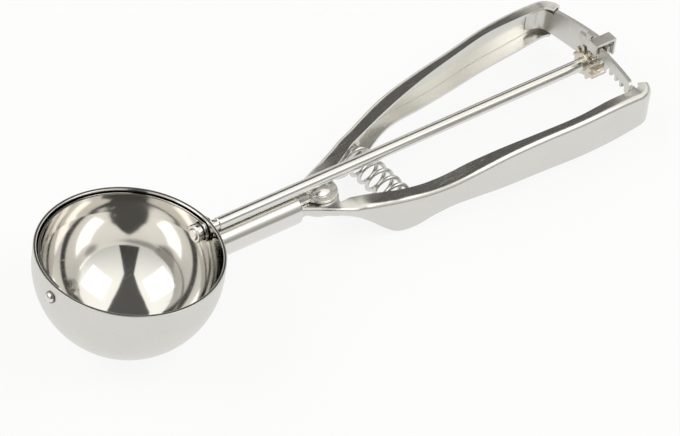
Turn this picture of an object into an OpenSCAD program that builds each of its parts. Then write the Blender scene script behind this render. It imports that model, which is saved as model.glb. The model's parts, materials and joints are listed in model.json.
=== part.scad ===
// Lever ice cream scoop: a hemispherical bowl with a sweeping scraper, a squeezed handle pair,
// and a toothed rack that turns the scraper shaft through a small pinion.
// The scoop frame has its origin at the centre of the bowl's sphere, +X along the shaft to the tail,
// +Y to the fixed handle and +Z out of the bowl. The whole scoop is then laid on the table, where it
// rests on the bottom of the bowl and on the finger rests of both handles.

/* [Bowl] */
// Outer radius of the bowl
bowl_r = 28; // [22:0.5:34]
// Sheet thickness of the bowl
bowl_wall = 1; // [0.6:0.1:1.6]
// Height of the rim above the centre of the sphere
rim_height = 4.5; // [2:0.5:7]

/* [Scraper] */
// Width of the scraper strip
scraper_w = 6.8; // [5:0.2:9]
// Sheet thickness of the scraper strip
scraper_t = 0.7; // [0.5:0.1:1]
// Running gap between the scraper and the bowl
scraper_gap = 0.35; // [0.3:0.05:0.6]
// How far the parked scraper stays below the rim
park_gap = 0.9; // [0.5:0.1:2]
// Outer diameter of the hub on the shaft inside the bowl
hub_d = 5.6; // [5:0.2:7]
// Length of the hub
hub_len = 2; // [1.5:0.25:4]

/* [Shaft] */
// Diameter of the scraper shaft
shaft_d = 3.9; // [3:0.1:4.4]
// Diameter of the thinner front end of the shaft
shaft_front_d = 3.2; // [2.4:0.1:3.4]
// Diameter of the front pivot pin
front_pin_d = 2; // [1.4:0.1:2.6]
// Diameter of the front pivot pin's heads
front_head_d = 3; // [2.8:0.1:4]
// Height of the front pivot pin's outer head
front_head_h = 1; // [0.6:0.1:1.6]
// Radial running clearance of every shaft and pin
running_fit = 0.05; // [0.02:0.01:0.09]
// Outer diameter of the bushing in the bowl wall
bushing_d = 5.6; // [5:0.2:7]
// Diameter of the bushing's flange
bushing_flange_d = 7.6; // [7.2:0.2:9]
// Diameter of the retaining pin across the shaft
cross_pin_d = 1.2; // [0.8:0.1:1.6]
// Length of the retaining pin across the shaft
cross_pin_len = 4.2; // [4:0.1:4.3]

/* [Neck] */
// Outer radius of the neck tube
neck_r = 5.2; // [4.8:0.1:5.6]
// Sheet thickness of the neck
neck_wall = 1; // [0.8:0.1:1.2]
// Depth of the neck's flat top below the shaft axis
neck_top = 2.25; // [2.25:0.05:2.6]
// Radius of the neck's tongues round the pivot rivet
tongue_r = 5.8; // [5.2:0.1:6.2]

/* [Pivot] */
// Distance from the bowl's centre to the pivot rivet
pivot_x = 70.2; // [66:0.2:76]
// Distance from the end of the neck tube to the pivot rivet
pivot_overhang = 9.4; // [9:0.2:10]
// Diameter of the pivot rivet
rivet_d = 4; // [3:0.1:4.6]
// Diameter of the pivot rivet's heads
rivet_head_d = 7.2; // [6:0.1:8]
// Height of the rivet heads
rivet_head_h = 1.2; // [0.8:0.05:1.4]
// Gap between sliding faces of the hinge
hinge_gap = 0.12; // [0.08:0.01:0.2]

/* [Handles] */
// Sheet thickness of the handles
handle_wall = 0.9; // [0.8:0.05:1]
// Corner radius at the top of the handle channel
handle_corner_r = 1.9; // [1.4:0.1:2.2]
// Corner radius at the bottom of the handle channel
handle_low_r = 1; // [0.9:0.1:1.6]
// Depth of the top flange of the handle channel at the tail
top_depth = 4.2; // [3.6:0.2:4.6]
// Depth of the bottom flange of the handle channel at the tail
low_depth = 4.9; // [4.2:0.1:5.4]
// Radius of the curl at the tail of each handle
tail_curl_r = 7; // [6.6:0.2:7.4]
// Distance from the shaft axis to the flat of each handle at the tail
tail_half_w = 25.9; // [24.7:0.2:28]
// Diameter of the boss that holds each end of the spring
spring_boss_d = 5.4; // [4.4:0.2:6]
// Height of that boss
spring_boss_h = 2.5; // [1.5:0.5:4]

/* [Gear] */
// Number of pinion teeth
pinion_teeth = 10; // [9:1:11]
// Module of the rack and pinion
gear_module = 0.9; // [0.86:0.02:0.94]
// Length of the pinion
pinion_len = 4.9; // [4:0.1:5]
// Outer diameter of the collar in front of the pinion
collar_d = 7.2; // [6:0.2:8]
// Length of that collar
collar_len = 1; // [0.6:0.1:2]
// Distance from the middle of the rack strip to the middle of the bearing strip
rack_setback = 4.7; // [4.5:0.1:5.1]
// Sheet thickness of the rack strip
rack_t = 1.2; // [1:0.1:1.4]
// Height of the solid strip above the rack teeth
rack_h = 3; // [2.6:0.1:4]
// Squeeze of the lever handle, which turns the scraper across the bowl
squeeze_angle = 7.4; // [6:0.1:7.4]

/* [Tail] */
// Distance from the pivot to the middle of the bearing strip
bearing_r = 107.1; // [96:0.1:118]
// Sheet thickness of the bearing strip and the keeper
bearing_t = 1.2; // [1:0.1:1.4]
// Depth of the bearing strip below the shaft axis
bearing_low = 4.2; // [3.4:0.2:5]
// Height of the bearing strip above the shaft axis
bearing_high = 6.5; // [6:0.1:7]
// Length of the keeper along the rack
keeper_w = 3.8; // [3:0.2:5]
// Gap between the keeper and the rack
keeper_gap = 0.4; // [0.35:0.05:0.7]
// Sheet thickness of the keeper
keeper_t = 0.8; // [0.6:0.1:1]

/* [Spring] */
// Distance from the bowl's centre to the spring's axis
spring_x = 93.6; // [92:0.2:96]
// Depth of the spring's axis below the shaft axis
spring_low = 10.8; // [10.4:0.1:11.2]
// Wire diameter of the spring
wire_d = 1.3; // [1:0.1:1.4]
// Mean radius of the spring's curls
spring_r = 4.1; // [3.9:0.1:4.2]
// Number of the spring's curls
spring_curls = 7; // [5:1:9]

/* [Hidden] */
$fn = 64;
eps = 0.01;
far = 300;

// Bowl and scraper.
washer_t = 0.4;
bowl_in = bowl_r - bowl_wall;
scraper_out = bowl_in - scraper_gap;
scraper_in = scraper_out - scraper_t;
scraper_half_angle = asin(scraper_w / 2 / scraper_out);
park_angle = asin((rim_height - park_gap) / scraper_out) - scraper_half_angle;

// Bushing in the bowl wall.
flange_len = 1;
bushing_out = 0.5;
bushing_in = 0.1;
bushing_x1 = bowl_r + flange_len + bushing_out;

// Pivot levels, from the top of the neck's upper tongue downwards.
// The four ears of the handles lie one under the other, and take turns: lever, fixed, lever, fixed.
washer_h = 0.25;
neck_skin = 0.3;
ear_pitch = handle_wall + hinge_gap;
ears = 4;
tongue_top = -neck_top - rivet_head_h - washer_h;
clevis_top = tongue_top - neck_wall;
clevis_low = clevis_top - ears * ear_pitch - hinge_gap;
tongue_low = clevis_low - neck_wall;
neck_axis_z = -neck_top - neck_skin - (neck_r - neck_wall);
neck_end_x = pivot_x - pivot_overhang;
ear_margin = 0.5;
ear_r = tongue_r + ear_margin;
function ear_top(level) = clevis_top - hinge_gap - level * ear_pitch;
function ear_low(level) = ear_top(level) - handle_wall;

// Gear train.
gear_pitch = PI * gear_module;
rack_r = bearing_r - rack_setback;
pinion_r = gear_module * pinion_teeth / 2;
tooth_add = gear_module;
tooth_ded = 1.25 * gear_module;
rack_step = gear_pitch / rack_r * 180 / PI;
rack_root_z = pinion_r + tooth_ded;
rack_top_z = rack_root_z + rack_h;
bearing_front_x = pivot_x + bearing_r - bearing_t / 2;
bearing_rear_x = bearing_front_x + bearing_t;
pinion_end_gap = 0.4;
pinion_x1 = bearing_front_x - pinion_end_gap;
pinion_x0 = pinion_x1 - pinion_len;

// Tail.
ring_gap = 0.3;
ring_len = 1;
shaft_end_len = 0.7;
ring_x0 = bearing_rear_x + ring_gap;
shaft_x1 = ring_x0 + ring_len + shaft_end_len;
ring_d = 6;
keeper_y1 = -0.8;
keeper_y0 = keeper_y1 - keeper_w;
keeper_x0 = pivot_x + rack_r - rack_t / 2 - keeper_gap - keeper_t;
keeper_x1 = bearing_rear_x + keeper_t;
keeper_top_z = rack_top_z + keeper_gap + keeper_t;
keeper_rear_z = 3.7;
bearing_y0 = -3.5;

// Handle channel: stations of the outer face as [x, y, top z, bottom z, depth of the top flange,
// depth of the bottom flange], from the front end to the start of the tail curl. Behind the ears, x
// is a share of the handle's length and y a share of the half width at the tail.
tail_top = 5.5;
tail_low = -6.6;
tail_setback = 5.3;
handle_len = bearing_r - tail_setback;
tail_flat_x = pivot_x + handle_len;
front_gap = 0.6;
front_x = neck_end_x + front_gap;
front_depth = 3;
lever_level = 0;
fixed_level = 1;
lever_spread = [-2.4, 0.4, 3.6, 5.5];
fixed_spread = [-2.1, 0.1, 1.7, 3.8];
function handle_rows(level, spread) = let (top = ear_top(level), low = ear_low(level + 2)) [
    [front_x, ear_r + spread[0], top, low, front_depth, front_depth],
    [pivot_x - 0.63 * ear_r, ear_r + spread[1], top, low, front_depth, front_depth],
    [pivot_x + 0.16 * ear_r, ear_r + spread[2], top, low, 3.4, front_depth],
    [pivot_x + 0.95 * ear_r, ear_r + spread[3], (top - 6.3) / 2, -9.2, 5.6, front_depth],
    [pivot_x + 0.108 * handle_len, 0.482 * tail_half_w, -6.1, -12.6, 5.4, 3.2],
    [pivot_x + 0.157 * handle_len, 0.554 * tail_half_w, -5.7, -16.3, 5, 3.8],
    [pivot_x + 0.196 * handle_len, 0.616 * tail_half_w, -5.2, -17.9, 4.7, 4.4],
    [pivot_x + 0.246 * handle_len, 0.677 * tail_half_w, -4.7, -16.9, 4.6, 5],
    [pivot_x + 0.295 * handle_len, 0.737 * tail_half_w, -3.8, -14, 4.8, 5.4],
    [pivot_x + 0.354 * handle_len, 0.797 * tail_half_w, -2.3, -11.7, 5.1, 5.2],
    [pivot_x + 0.422 * handle_len, 0.84 * tail_half_w, -0.5, -11, 5.1, 4.7],
    [pivot_x + 0.53 * handle_len, 0.878 * tail_half_w, 1.6, -11, 4.3, 4.5],
    [pivot_x + 0.658 * handle_len, 0.924 * tail_half_w, 3.2, -10.1, 3.6, 4.6],
    [pivot_x + 0.786 * handle_len, 0.982 * tail_half_w, 4.7, -9, 3.6, low_depth],
    [pivot_x + 0.904 * handle_len, tail_half_w, 5.6, -8, top_depth, low_depth],
    [tail_flat_x, tail_half_w, tail_top, tail_low, top_depth, low_depth]];
row_steps = 3;
curl_steps = 6;
curl_end = 72;
corner_steps = 4;

// A smooth curve through the rows, by Catmull and Rom's rule.
function smooth_between(a, b, c, d, t) =
    0.5 * (2 * b + (c - a) * t + (2 * a - 5 * b + 4 * c - d) * t * t
    + (3 * b - a - 3 * c + d) * t * t * t);
function row_at(rows, i) = rows[max(0, min(len(rows) - 1, i))];
function smooth_rows(rows, steps) = [
    for (i = [0 : len(rows) - 2])
        for (s = [0 : steps - 1])
            smooth_between(row_at(rows, i - 1), rows[i], rows[i + 1], row_at(rows, i + 2), s / steps),
    rows[len(rows) - 1]];

// The tail curls inwards on an arc, while its top and bottom edges draw together.
top_draw = 0.4;
low_draw = 1.4;
function curl_row(a) = [
    tail_flat_x + tail_curl_r * sin(a),
    tail_half_w - tail_curl_r * (1 - cos(a)),
    tail_top - top_draw * (1 - cos(a)),
    tail_low + low_draw * (1 - cos(a)),
    top_depth - top_draw * (1 - cos(a)),
    low_depth - low_draw * (1 - cos(a))];
function handle_path(level, spread) = concat(
    smooth_rows(handle_rows(level, spread), row_steps),
    [for (i = [1 : curl_steps]) curl_row(curl_end * i / curl_steps)]);
lever_path = handle_path(lever_level, lever_spread);
fixed_path = handle_path(fixed_level, fixed_spread);

// Inward normal of the outer face in plan, at station i.
function path_dir(path, i) =
    let (a = path[max(0, i - 1)], b = path[min(len(path) - 1, i + 1)], d = [b[0] - a[0], b[1] - a[1]])
    d / norm(d);
function inward(path, i) = let (d = path_dir(path, i)) [d[1], -d[0]];

// Half of a channel section from the flange edge to the middle of the web, as [depth, inset from
// the edge height]. skin is 0 for the outer surface and 1 for the inner one. Where the channel is
// low, the top corner takes a share of its height.
least_corner = 0.2;
corner_share = 0.34;
function channel_half(depth, radius, skin) =
    let (t = handle_wall * skin, r = max(least_corner, min(radius, depth - least_corner) - t))
    concat([[depth, t]],
        [for (k = [0 : corner_steps])
            let (a = 90 * k / corner_steps)
            [t + r * (1 - sin(a)), t + r * (1 - cos(a))]]);
function section_points(path, i, skin) =
    let (row = path[i], n = inward(path, i), top_r = min(handle_corner_r, corner_share * (row[2] - row[3])),
         top = channel_half(row[4], top_r, skin),
         low = channel_half(row[5], handle_low_r, skin), m = len(top))
    concat(
        [for (k = [0 : m - 1]) [row[0] + n[0] * top[k][0], row[1] + n[1] * top[k][0], row[2] - top[k][1]]],
        [for (k = [m - 1 : -1 : 0]) [row[0] + n[0] * low[k][0], row[1] + n[1] * low[k][0], row[3] + low[k][1]]]);

// The scoop lies on its bowl and on the lowest point of the handles. The origin is halfway between
// the front pin's head and whatever reaches furthest at the tail.
handle_skin = [for (path = [lever_path, fixed_path])
    for (i = [0 : len(path) - 1]) each section_points(path, i, 0)];
rest_tilt = min([for (p = handle_skin)
    asin(bowl_r / norm([p[0], p[2]])) - atan2(-p[2], p[0])]);
head_tip_x = -(bowl_r + washer_t + front_head_h);
reach_x0 = head_tip_x * cos(rest_tilt);
tail_ends = concat(handle_skin, [[shaft_x1, 0, shaft_d / 2], [keeper_x1, 0, keeper_top_z]]);
reach_x1 = max([for (p = tail_ends) p[0] * cos(rest_tilt) + p[2] * sin(rest_tilt)]);
centre_x = (reach_x0 + reach_x1) / 2;

module rest_pose() {
    translate([-centre_x, 0, bowl_r])
        rotate([0, rest_tilt, 0])
            children();
}

// A round bar along X from x0 to x1.
module bar_x(x0, x1, d) {
    translate([x0, 0, 0])
        rotate([0, 90, 0])
            cylinder(h = x1 - x0, d = d);
}

// A domed head on the Z axis: base at z = 0, h high.
module dome_head(d, h) {
    r = (d * d / 4 + h * h) / (2 * h);
    intersection() {
        translate([0, 0, h - r])
            sphere(r = r, $fn = 96);
        cylinder(h = h + 1, d = d);
    }
}

module bowl_shape() {
    difference() {
        union() {
            intersection() {
                sphere(r = bowl_r, $fn = 160);
                translate([-far / 2, -far / 2, -far])
                    cube([far, far, far]);
            }
            cylinder(h = rim_height, r = bowl_r, $fn = 160);
        }
        sphere(r = bowl_in, $fn = 160);
        cylinder(h = rim_height + 1, r = bowl_in, $fn = 160);
        bar_x(-bowl_r - 1, -bowl_r / 2, front_pin_d);
        bar_x(bowl_r / 2, bowl_r + 1, bushing_d);
    }
}

module bowl() {
    color("gainsboro") rest_pose() bowl_shape();
}

// The neck is a folded tube with a flat top. Its two tongues clamp the handles' ears.
module neck_shape() {
    difference() {
        union() {
            difference() {
                translate([0, 0, neck_axis_z]) {
                    difference() {
                        bar_x(bowl_r / 2, neck_end_x, 2 * neck_r);
                        bar_x(bowl_r / 2 - 1, neck_end_x + 1, 2 * (neck_r - neck_wall));
                    }
                    // An end wall closes the tube above the upper tongue.
                    intersection() {
                        bar_x(neck_end_x - neck_wall, neck_end_x, 2 * neck_r - neck_wall);
                        translate([0, -far / 2, clevis_top - neck_axis_z])
                            cube([far, far, far]);
                    }
                }
                translate([0, -far / 2, -neck_top])
                    cube([far, far, far]);
            }
            for (z = [tongue_low, clevis_top])
                translate([0, 0, z])
                    linear_extrude(neck_wall)
                        tongue_plan();
        }
        sphere(r = bowl_r, $fn = 160);
        bar_x(bowl_r / 2, bowl_r + flange_len, bushing_flange_d);
        bar_x(bowl_r / 2, bushing_x1, bushing_d);
        translate([pivot_x, 0, tongue_low - 1])
            cylinder(h = far, d = rivet_d);
    }
}

// A tongue is a disc on a narrow stem, whose wide root ends in the wall of the tube.
module tongue_plan() {
    root_len = 2.4;
    root_w = 2 * (neck_r - 1.2 * neck_wall);
    stem_w = tongue_r - neck_wall / 2;
    translate([pivot_x, 0])
        circle(r = tongue_r);
    translate([neck_end_x - root_len, -stem_w / 2])
        square([pivot_overhang + root_len, stem_w]);
    translate([neck_end_x - root_len, -root_w / 2])
        square([root_len, root_w]);
}

module neck() {
    color("silver") rest_pose() neck_shape();
}

// Bushing in the bowl wall, with its flange on the outside.
module shaft_bushing() {
    color("darkgray") rest_pose() difference() {
        union() {
            bar_x(bowl_in - bushing_in, bushing_x1, bushing_d);
            bar_x(bowl_r, bowl_r + flange_len, bushing_flange_d);
        }
        bar_x(bowl_r / 2, 2 * bowl_r, shaft_front_d + 2 * running_fit);
    }
}

// Front pivot pin: an outer head, a shank through the bowl and the scraper's eye, an inner head.
inner_head_gap = 0.35;
inner_head_x = -(scraper_in - inner_head_gap);
inner_head_len = 0.8;
module front_pivot_pin() {
    color("silver") rest_pose() {
        bar_x(-bowl_r - washer_t - eps, inner_head_x + inner_head_len, front_pin_d);
        bar_x(inner_head_x, inner_head_x + inner_head_len, front_head_d);
        translate([-bowl_r - washer_t, 0, 0])
            rotate([0, -90, 0])
                dome_head(front_head_d, front_head_h);
    }
}

module front_pin_washer() {
    washer_d = front_head_d + 0.8;
    color("dimgray") rest_pose() difference() {
        bar_x(-bowl_r - washer_t, -bowl_r, washer_d);
        bar_x(-bowl_r - 1, -bowl_r + 1, front_pin_d);
    }
}

// The scraper is a strip of a thin sphere shell, from the front pin round to the shaft.
module scraper() {
    color("lightgray") rest_pose() rotate([park_angle, 0, 0]) difference() {
        intersection() {
            sphere(r = scraper_out, $fn = 160);
            union() {
                bar_x(-bowl_r, bowl_r, scraper_w);
                translate([-bowl_r, 0, -scraper_w / 2])
                    cube([2 * bowl_r, bowl_r, scraper_w]);
            }
        }
        sphere(r = scraper_in, $fn = 160);
        bar_x(-bowl_r, 0, front_pin_d + 2 * running_fit);
        bar_x(0, bowl_r, shaft_front_d);
    }
}

hub_gap = 0.3;
hub_x1 = scraper_in - hub_gap;
hub_x0 = hub_x1 - hub_len;
module scraper_hub() {
    color("gray") rest_pose() difference() {
        bar_x(hub_x0, hub_x1, hub_d);
        bar_x(hub_x0 - 1, hub_x1 + 1, shaft_front_d);
    }
}

// The shaft steps down in front, just behind the bushing.
shaft_tip_len = 0.3;
shaft_step_gap = 2.6;
cross_pin_gap = 0.3;
shaft_step_x = bushing_x1 + shaft_step_gap;
cross_pin_x = bushing_x1 + cross_pin_gap + cross_pin_d / 2;
module shaft_shape() {
    difference() {
        union() {
            bar_x(hub_x0 - shaft_tip_len, shaft_step_x + eps, shaft_front_d);
            bar_x(shaft_step_x, shaft_x1, shaft_d);
        }
        translate([cross_pin_x, 0, -shaft_d])
            cylinder(h = 2 * shaft_d, d = cross_pin_d);
    }
}

module shaft() {
    color("whitesmoke") rest_pose() shaft_shape();
}

module shaft_retaining_pin() {
    color("silver") rest_pose()
        translate([cross_pin_x, 0, -cross_pin_len / 2])
            cylinder(h = cross_pin_len, d = cross_pin_d);
}

// A pinion tooth is a slim round-topped lobe.
lobe_w = 0.37 * gear_pitch;
module pinion() {
    root_r = pinion_r - tooth_ded;
    lobe_r = pinion_r + tooth_add - lobe_w / 2;
    color("tan") rest_pose() translate([pinion_x0, 0, 0]) rotate([90, 0, 90]) difference() {
        linear_extrude(pinion_len) union() {
            circle(r = root_r);
            for (i = [0 : pinion_teeth - 1])
                rotate(90 + (i + 0.5) * 360 / pinion_teeth) {
                    translate([0, -lobe_w / 2])
                        square([lobe_r, lobe_w]);
                    translate([lobe_r, 0])
                        circle(d = lobe_w, $fn = 24);
                }
        }
        translate([0, 0, -1])
            cylinder(h = pinion_len + 2, d = shaft_d);
    }
}

module pinion_collar() {
    color("tan") rest_pose() difference() {
        bar_x(pinion_x0 - collar_len, pinion_x0, collar_d);
        bar_x(pinion_x0 - collar_len - 1, pinion_x0 + 1, shaft_d);
    }
}

module shaft_end_ring() {
    color("gray") rest_pose() difference() {
        bar_x(ring_x0, ring_x0 + ring_len, ring_d);
        bar_x(ring_x0 - 1, ring_x0 + ring_len + 1, shaft_d);
    }
}

module pivot_rivet() {
    color("silver") rest_pose() translate([pivot_x, 0, 0]) {
        translate([0, 0, tongue_low - washer_h - eps])
            cylinder(h = tongue_top - tongue_low + 2 * washer_h + 2 * eps, d = rivet_d);
        translate([0, 0, tongue_top + washer_h])
            dome_head(rivet_head_d, rivet_head_h);
        translate([0, 0, tongue_low - washer_h])
            mirror([0, 0, 1])
                dome_head(rivet_head_d, rivet_head_h);
    }
}

module rivet_washers() {
    washer_d = rivet_head_d + 1;
    color("gray") rest_pose() translate([pivot_x, 0, 0])
        for (z = [tongue_top, tongue_low - washer_h])
            translate([0, 0, z])
                difference() {
                    cylinder(h = washer_h, d = washer_d);
                    translate([0, 0, -1])
                        cylinder(h = washer_h + 2, d = rivet_d);
                }
}

// A sheet channel swept along the handle's path, with its open side towards the shaft.
module channel(path) {
    n = len(path);
    outer = [for (i = [0 : n - 1]) section_points(path, i, 0)];
    inner = [for (i = [0 : n - 1]) section_points(path, i, 1)];
    m = len(outer[0]);
    points = [for (i = [0 : n - 1]) for (p = concat(outer[i], [for (k = [m - 1 : -1 : 0]) inner[i][k]])) p];
    ring = 2 * m;
    walls = [for (i = [0 : n - 2]) for (k = [0 : ring - 1])
        let (a = i * ring + k, b = i * ring + (k + 1) % ring, c = b + ring, d = a + ring)
        each [[a, b, c], [a, c, d]]];
    caps = [for (e = [0, 1]) for (k = [0 : m - 2])
        let (s = e * (n - 1) * ring, a = s + k, b = s + k + 1, c = s + ring - 2 - k, d = s + ring - 1 - k)
        each e == 0 ? [[a, c, b], [a, d, c]] : [[a, b, c], [a, c, d]]];
    polyhedron(points = points, faces = concat(walls, caps), convexity = 8);
}

// Ear of a handle round the rivet, with its root in the web of the channel.
ear_rows = 2 * row_steps;
module ear_plan(path) {
    web = [for (i = [0 : ear_rows]) let (row = path[i], n = inward(path, i))
        [row[0] + n[0] * handle_wall / 2, row[1] + n[1] * handle_wall / 2]];
    side = 0.8 * ear_r;
    difference() {
        union() {
            translate([pivot_x, 0])
                circle(r = ear_r);
            polygon(concat([[pivot_x + side, 1], [pivot_x - side, 1]], web));
        }
        translate([pivot_x, 0])
            circle(r = rivet_d / 2 + running_fit);
    }
}

// Boss on the inside of the web, in the middle of the spring.
function path_y(x) = lookup(x, [for (row = fixed_path) if (row[0] < tail_flat_x) [row[0], row[1]]]);
seat_rise = 1.2;
seat_y = path_y(spring_x) - handle_wall - seat_rise;
// The seat stops inside the web, which slants across it.
module spring_seat(path) {
    seat_d = 2 * (spring_r + wire_d) - handle_wall;
    web = [for (row = path) if (abs(row[0] - spring_x) < 2 * seat_d)
        [row[0], row[1] - handle_wall / 2]];
    last = len(web) - 1;
    difference() {
        translate([spring_x, seat_y, -spring_low])
            rotate([-90, 0, 0])
                cylinder(h = seat_d, d = seat_d);
        translate([0, 0, -far / 2])
            linear_extrude(far)
                polygon(concat(web, [[web[last][0], far], [web[0][0], far]]));
    }
    translate([spring_x, seat_y - spring_boss_h, -spring_low])
        rotate([-90, 0, 0])
            cylinder(h = spring_boss_h + seat_rise, d = spring_boss_d);
}

module handle_shape(path, level) {
    channel(path);
    spring_seat(path);
    for (k = [level, level + 2])
        translate([0, 0, ear_low(k)])
            linear_extrude(handle_wall)
                ear_plan(path);
}

module fixed_handle() {
    color("lightsteelblue") rest_pose() handle_shape(fixed_path, fixed_level);
}

module lever_handle() {
    color("lightgray") rest_pose() mirror([0, 1, 0]) handle_shape(lever_path, lever_level);
}

// The bearing strip runs on an arc round the pivot and turns onto the web of the fixed handle.
bend_gap = 4.3;
bend_y = tail_half_w - bend_gap;
bend_a = asin(bend_y / bearing_r);
tab_len = 3;
tab_x0 = tail_flat_x - tab_len;
tab_y = tail_half_w - handle_wall - bearing_t / 2;
bend_r = (tab_y - bend_y) / (1 - sin(bend_a));
bend_cx = pivot_x + bearing_r * cos(bend_a) - bend_r * cos(bend_a);
bend_cy = bend_y - bend_r * sin(bend_a);
bearing_a0 = asin(bearing_y0 / bearing_r);
arc_steps = 14;
fold_gap = 0.1;
function arc_points(cx, cy, r, a0, a1, steps) =
    [for (i = [0 : steps]) let (a = a0 + (a1 - a0) * i / steps) [cx + r * cos(a), cy + r * sin(a)]];
function bearing_edge(off) = concat(
    arc_points(pivot_x, 0, bearing_r + off, bearing_a0, bend_a, arc_steps),
    arc_points(bend_cx, bend_cy, bend_r + off, bend_a + 5, 90, 5),
    [[tab_x0, tab_y + off]]);
module bearing_strip() {
    outside = bearing_edge(bearing_t / 2);
    inside = bearing_edge(-bearing_t / 2);
    n = len(inside);
    // The top edge slopes down to the handle, and steps down under the flange.
    slope_y = 3;
    slope_end = 0.2;
    slope_z = tail_top - handle_wall + slope_end;
    step_margin = 2.2;
    step_y = tail_half_w - top_depth - step_margin;
    step_z = tail_top - top_draw - handle_corner_r - fold_gap;
    color("lightslategray") rest_pose() difference() {
        translate([0, 0, -bearing_low])
            linear_extrude(bearing_low + bearing_high)
                polygon(concat(outside, [for (i = [n - 1 : -1 : 0]) inside[i]]));
        rotate([90, 0, 90])
            linear_extrude(far)
                polygon([[slope_y, bearing_high], [step_y, slope_z], [step_y, step_z], [far, step_z],
                         [far, far], [slope_y, far]]);
        bar_x(bearing_front_x - 1, bearing_rear_x + 1, shaft_d + 2 * running_fit);
    }
}

// The keeper is a folded bracket that holds the rack down on the pinion.
module rack_keeper() {
    front_z = pinion_r + tooth_add + keeper_t;
    color("silver") rest_pose() {
        translate([keeper_x0, keeper_y0, front_z])
            cube([keeper_t, keeper_w, keeper_top_z - front_z]);
        translate([keeper_x0, keeper_y0, keeper_top_z - keeper_t])
            cube([keeper_x1 - keeper_x0, keeper_w, keeper_t]);
        translate([bearing_rear_x, keeper_y0, keeper_rear_z])
            cube([keeper_t, keeper_w, keeper_top_z - keeper_rear_z]);
    }
}

// The rack is an arc of strip round the pivot, with teeth below and a stop tab on its free end. Its
// root ends at the handle's top flange, and its foot lies under that flange.
free_angle = 2.6;
rack_root_angle = 11;
foot_angle = 13.1;
stop_angle0 = -0.25;
stop_angle1 = 0.9;
stop_h = 2;
foot_len = 3.4;
foot_t = 1;
foot_gap = 0.1;
foot_top = tail_top - handle_wall - foot_gap;
foot_low = foot_top - foot_t;
rack_tip_w = 0.27 * gear_pitch;
rack_root_w = 0.5 * gear_pitch;
rack_tip_z = pinion_r - tooth_add;
rack_gaps = ceil(rack_root_angle / rack_step);
// The strip's top edge slopes down to its root.
root_slope_w = 3;
root_slope_z = tail_top + 1.4;
module rack_arc(a0, a1, z0, z1) {
    outside = arc_points(0, 0, rack_r + rack_t / 2, a0, a1, arc_steps);
    inside = arc_points(0, 0, rack_r - rack_t / 2, a1, a0, arc_steps);
    translate([0, 0, z0])
        linear_extrude(z1 - z0)
            polygon(concat(outside, inside));
}

// The gap between two teeth, cut radially through the strip.
module rack_gap() {
    deep = 1;
    flare = (rack_root_w - rack_tip_w) / 2 / (rack_root_z - rack_tip_z);
    tip_gap = gear_pitch - rack_tip_w;
    root_gap = gear_pitch - rack_root_w;
    translate([rack_r - 2 * rack_t, 0, 0])
        rotate([90, 0, 90])
            linear_extrude(4 * rack_t)
                polygon([[-root_gap / 2, rack_root_z], [root_gap / 2, rack_root_z],
                         [tip_gap / 2 + flare * deep, rack_tip_z - deep],
                         [-tip_gap / 2 - flare * deep, rack_tip_z - deep]]);
}

module toothed_rack() {
    foot_y0 = -(rack_r * sin(foot_angle));
    foot_y1 = -(rack_r * sin(rack_root_angle));
    foot_x0 = rack_r * cos(foot_angle) + rack_t / 4;
    flange_y = -(tail_half_w - top_depth - foot_gap);
    color("darkgray") rest_pose() translate([pivot_x, 0, 0]) difference() {
        union() {
            rack_arc(-foot_angle, free_angle, rack_tip_z, rack_top_z);
            rack_arc(stop_angle0, stop_angle1, rack_top_z - 1, rack_top_z + stop_h);
            translate([foot_x0, foot_y0, foot_low])
                cube([foot_len, foot_y1 - foot_y0, foot_t]);
        }
        for (i = [-2 : rack_gaps - 1])
            rotate([0, 0, -(i + 0.5) * rack_step])
                rack_gap();
        rotate([0, 0, -foot_angle])
            translate([rack_r - 2 * rack_t, 0, 0])
                rotate([90, 0, 90])
                    linear_extrude(4 * rack_t)
                        polygon([[-1, root_slope_z], [0, root_slope_z], [root_slope_w, rack_top_z],
                                 [root_slope_w, far], [-1, far]]);
        translate([0, flange_y - far, foot_top])
            cube([far, far, far]);
    }
}

// The return spring is one unbroken tube, wound round its axis between the two seats.
rings_per_curl = 8;
wire_sides = 6;
wound_half = seat_y - wire_d - wire_d / 2;
spring_rings = spring_curls * rings_per_curl;
function coil_point(i) =
    let (a = 360 * i / rings_per_curl, y = -wound_half + 2 * wound_half * i / spring_rings)
    [spring_x + spring_r * cos(a), y, -spring_low + spring_r * sin(a)];
function coil_dir(i) =
    let (a = 360 * i / rings_per_curl,
         rise = 2 * wound_half / spring_rings * rings_per_curl / (2 * PI),
         d = [-spring_r * sin(a), rise, spring_r * cos(a)])
    d / norm(d);
coil_line = concat(
    [[spring_x + spring_r, -seat_y, -spring_low], [spring_x + spring_r, -seat_y + wire_d, -spring_low]],
    [for (i = [1 : spring_rings - 1]) coil_point(i)],
    [[spring_x + spring_r, seat_y - wire_d, -spring_low], [spring_x + spring_r, seat_y, -spring_low]]);
function coil_axis(k) =
    k <= 1 || k >= len(coil_line) - 2 ? [0, 1, 0] : coil_dir(k - 1);
function coil_ring(k) =
    let (p = coil_line[k], t = coil_axis(k), c = [spring_x, p[1], -spring_low],
         u0 = (p - c) / norm(p - c), u1 = u0 - t * (u0 * t), u = u1 / norm(u1), v = cross(t, u))
    [for (s = [0 : wire_sides - 1])
        let (a = 360 * s / wire_sides) p + wire_d / 2 * (u * cos(a) + v * sin(a))];
coil_gap = 2 * wound_half / spring_curls - wire_d;
echo(least_spring_gap = coil_gap);

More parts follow.
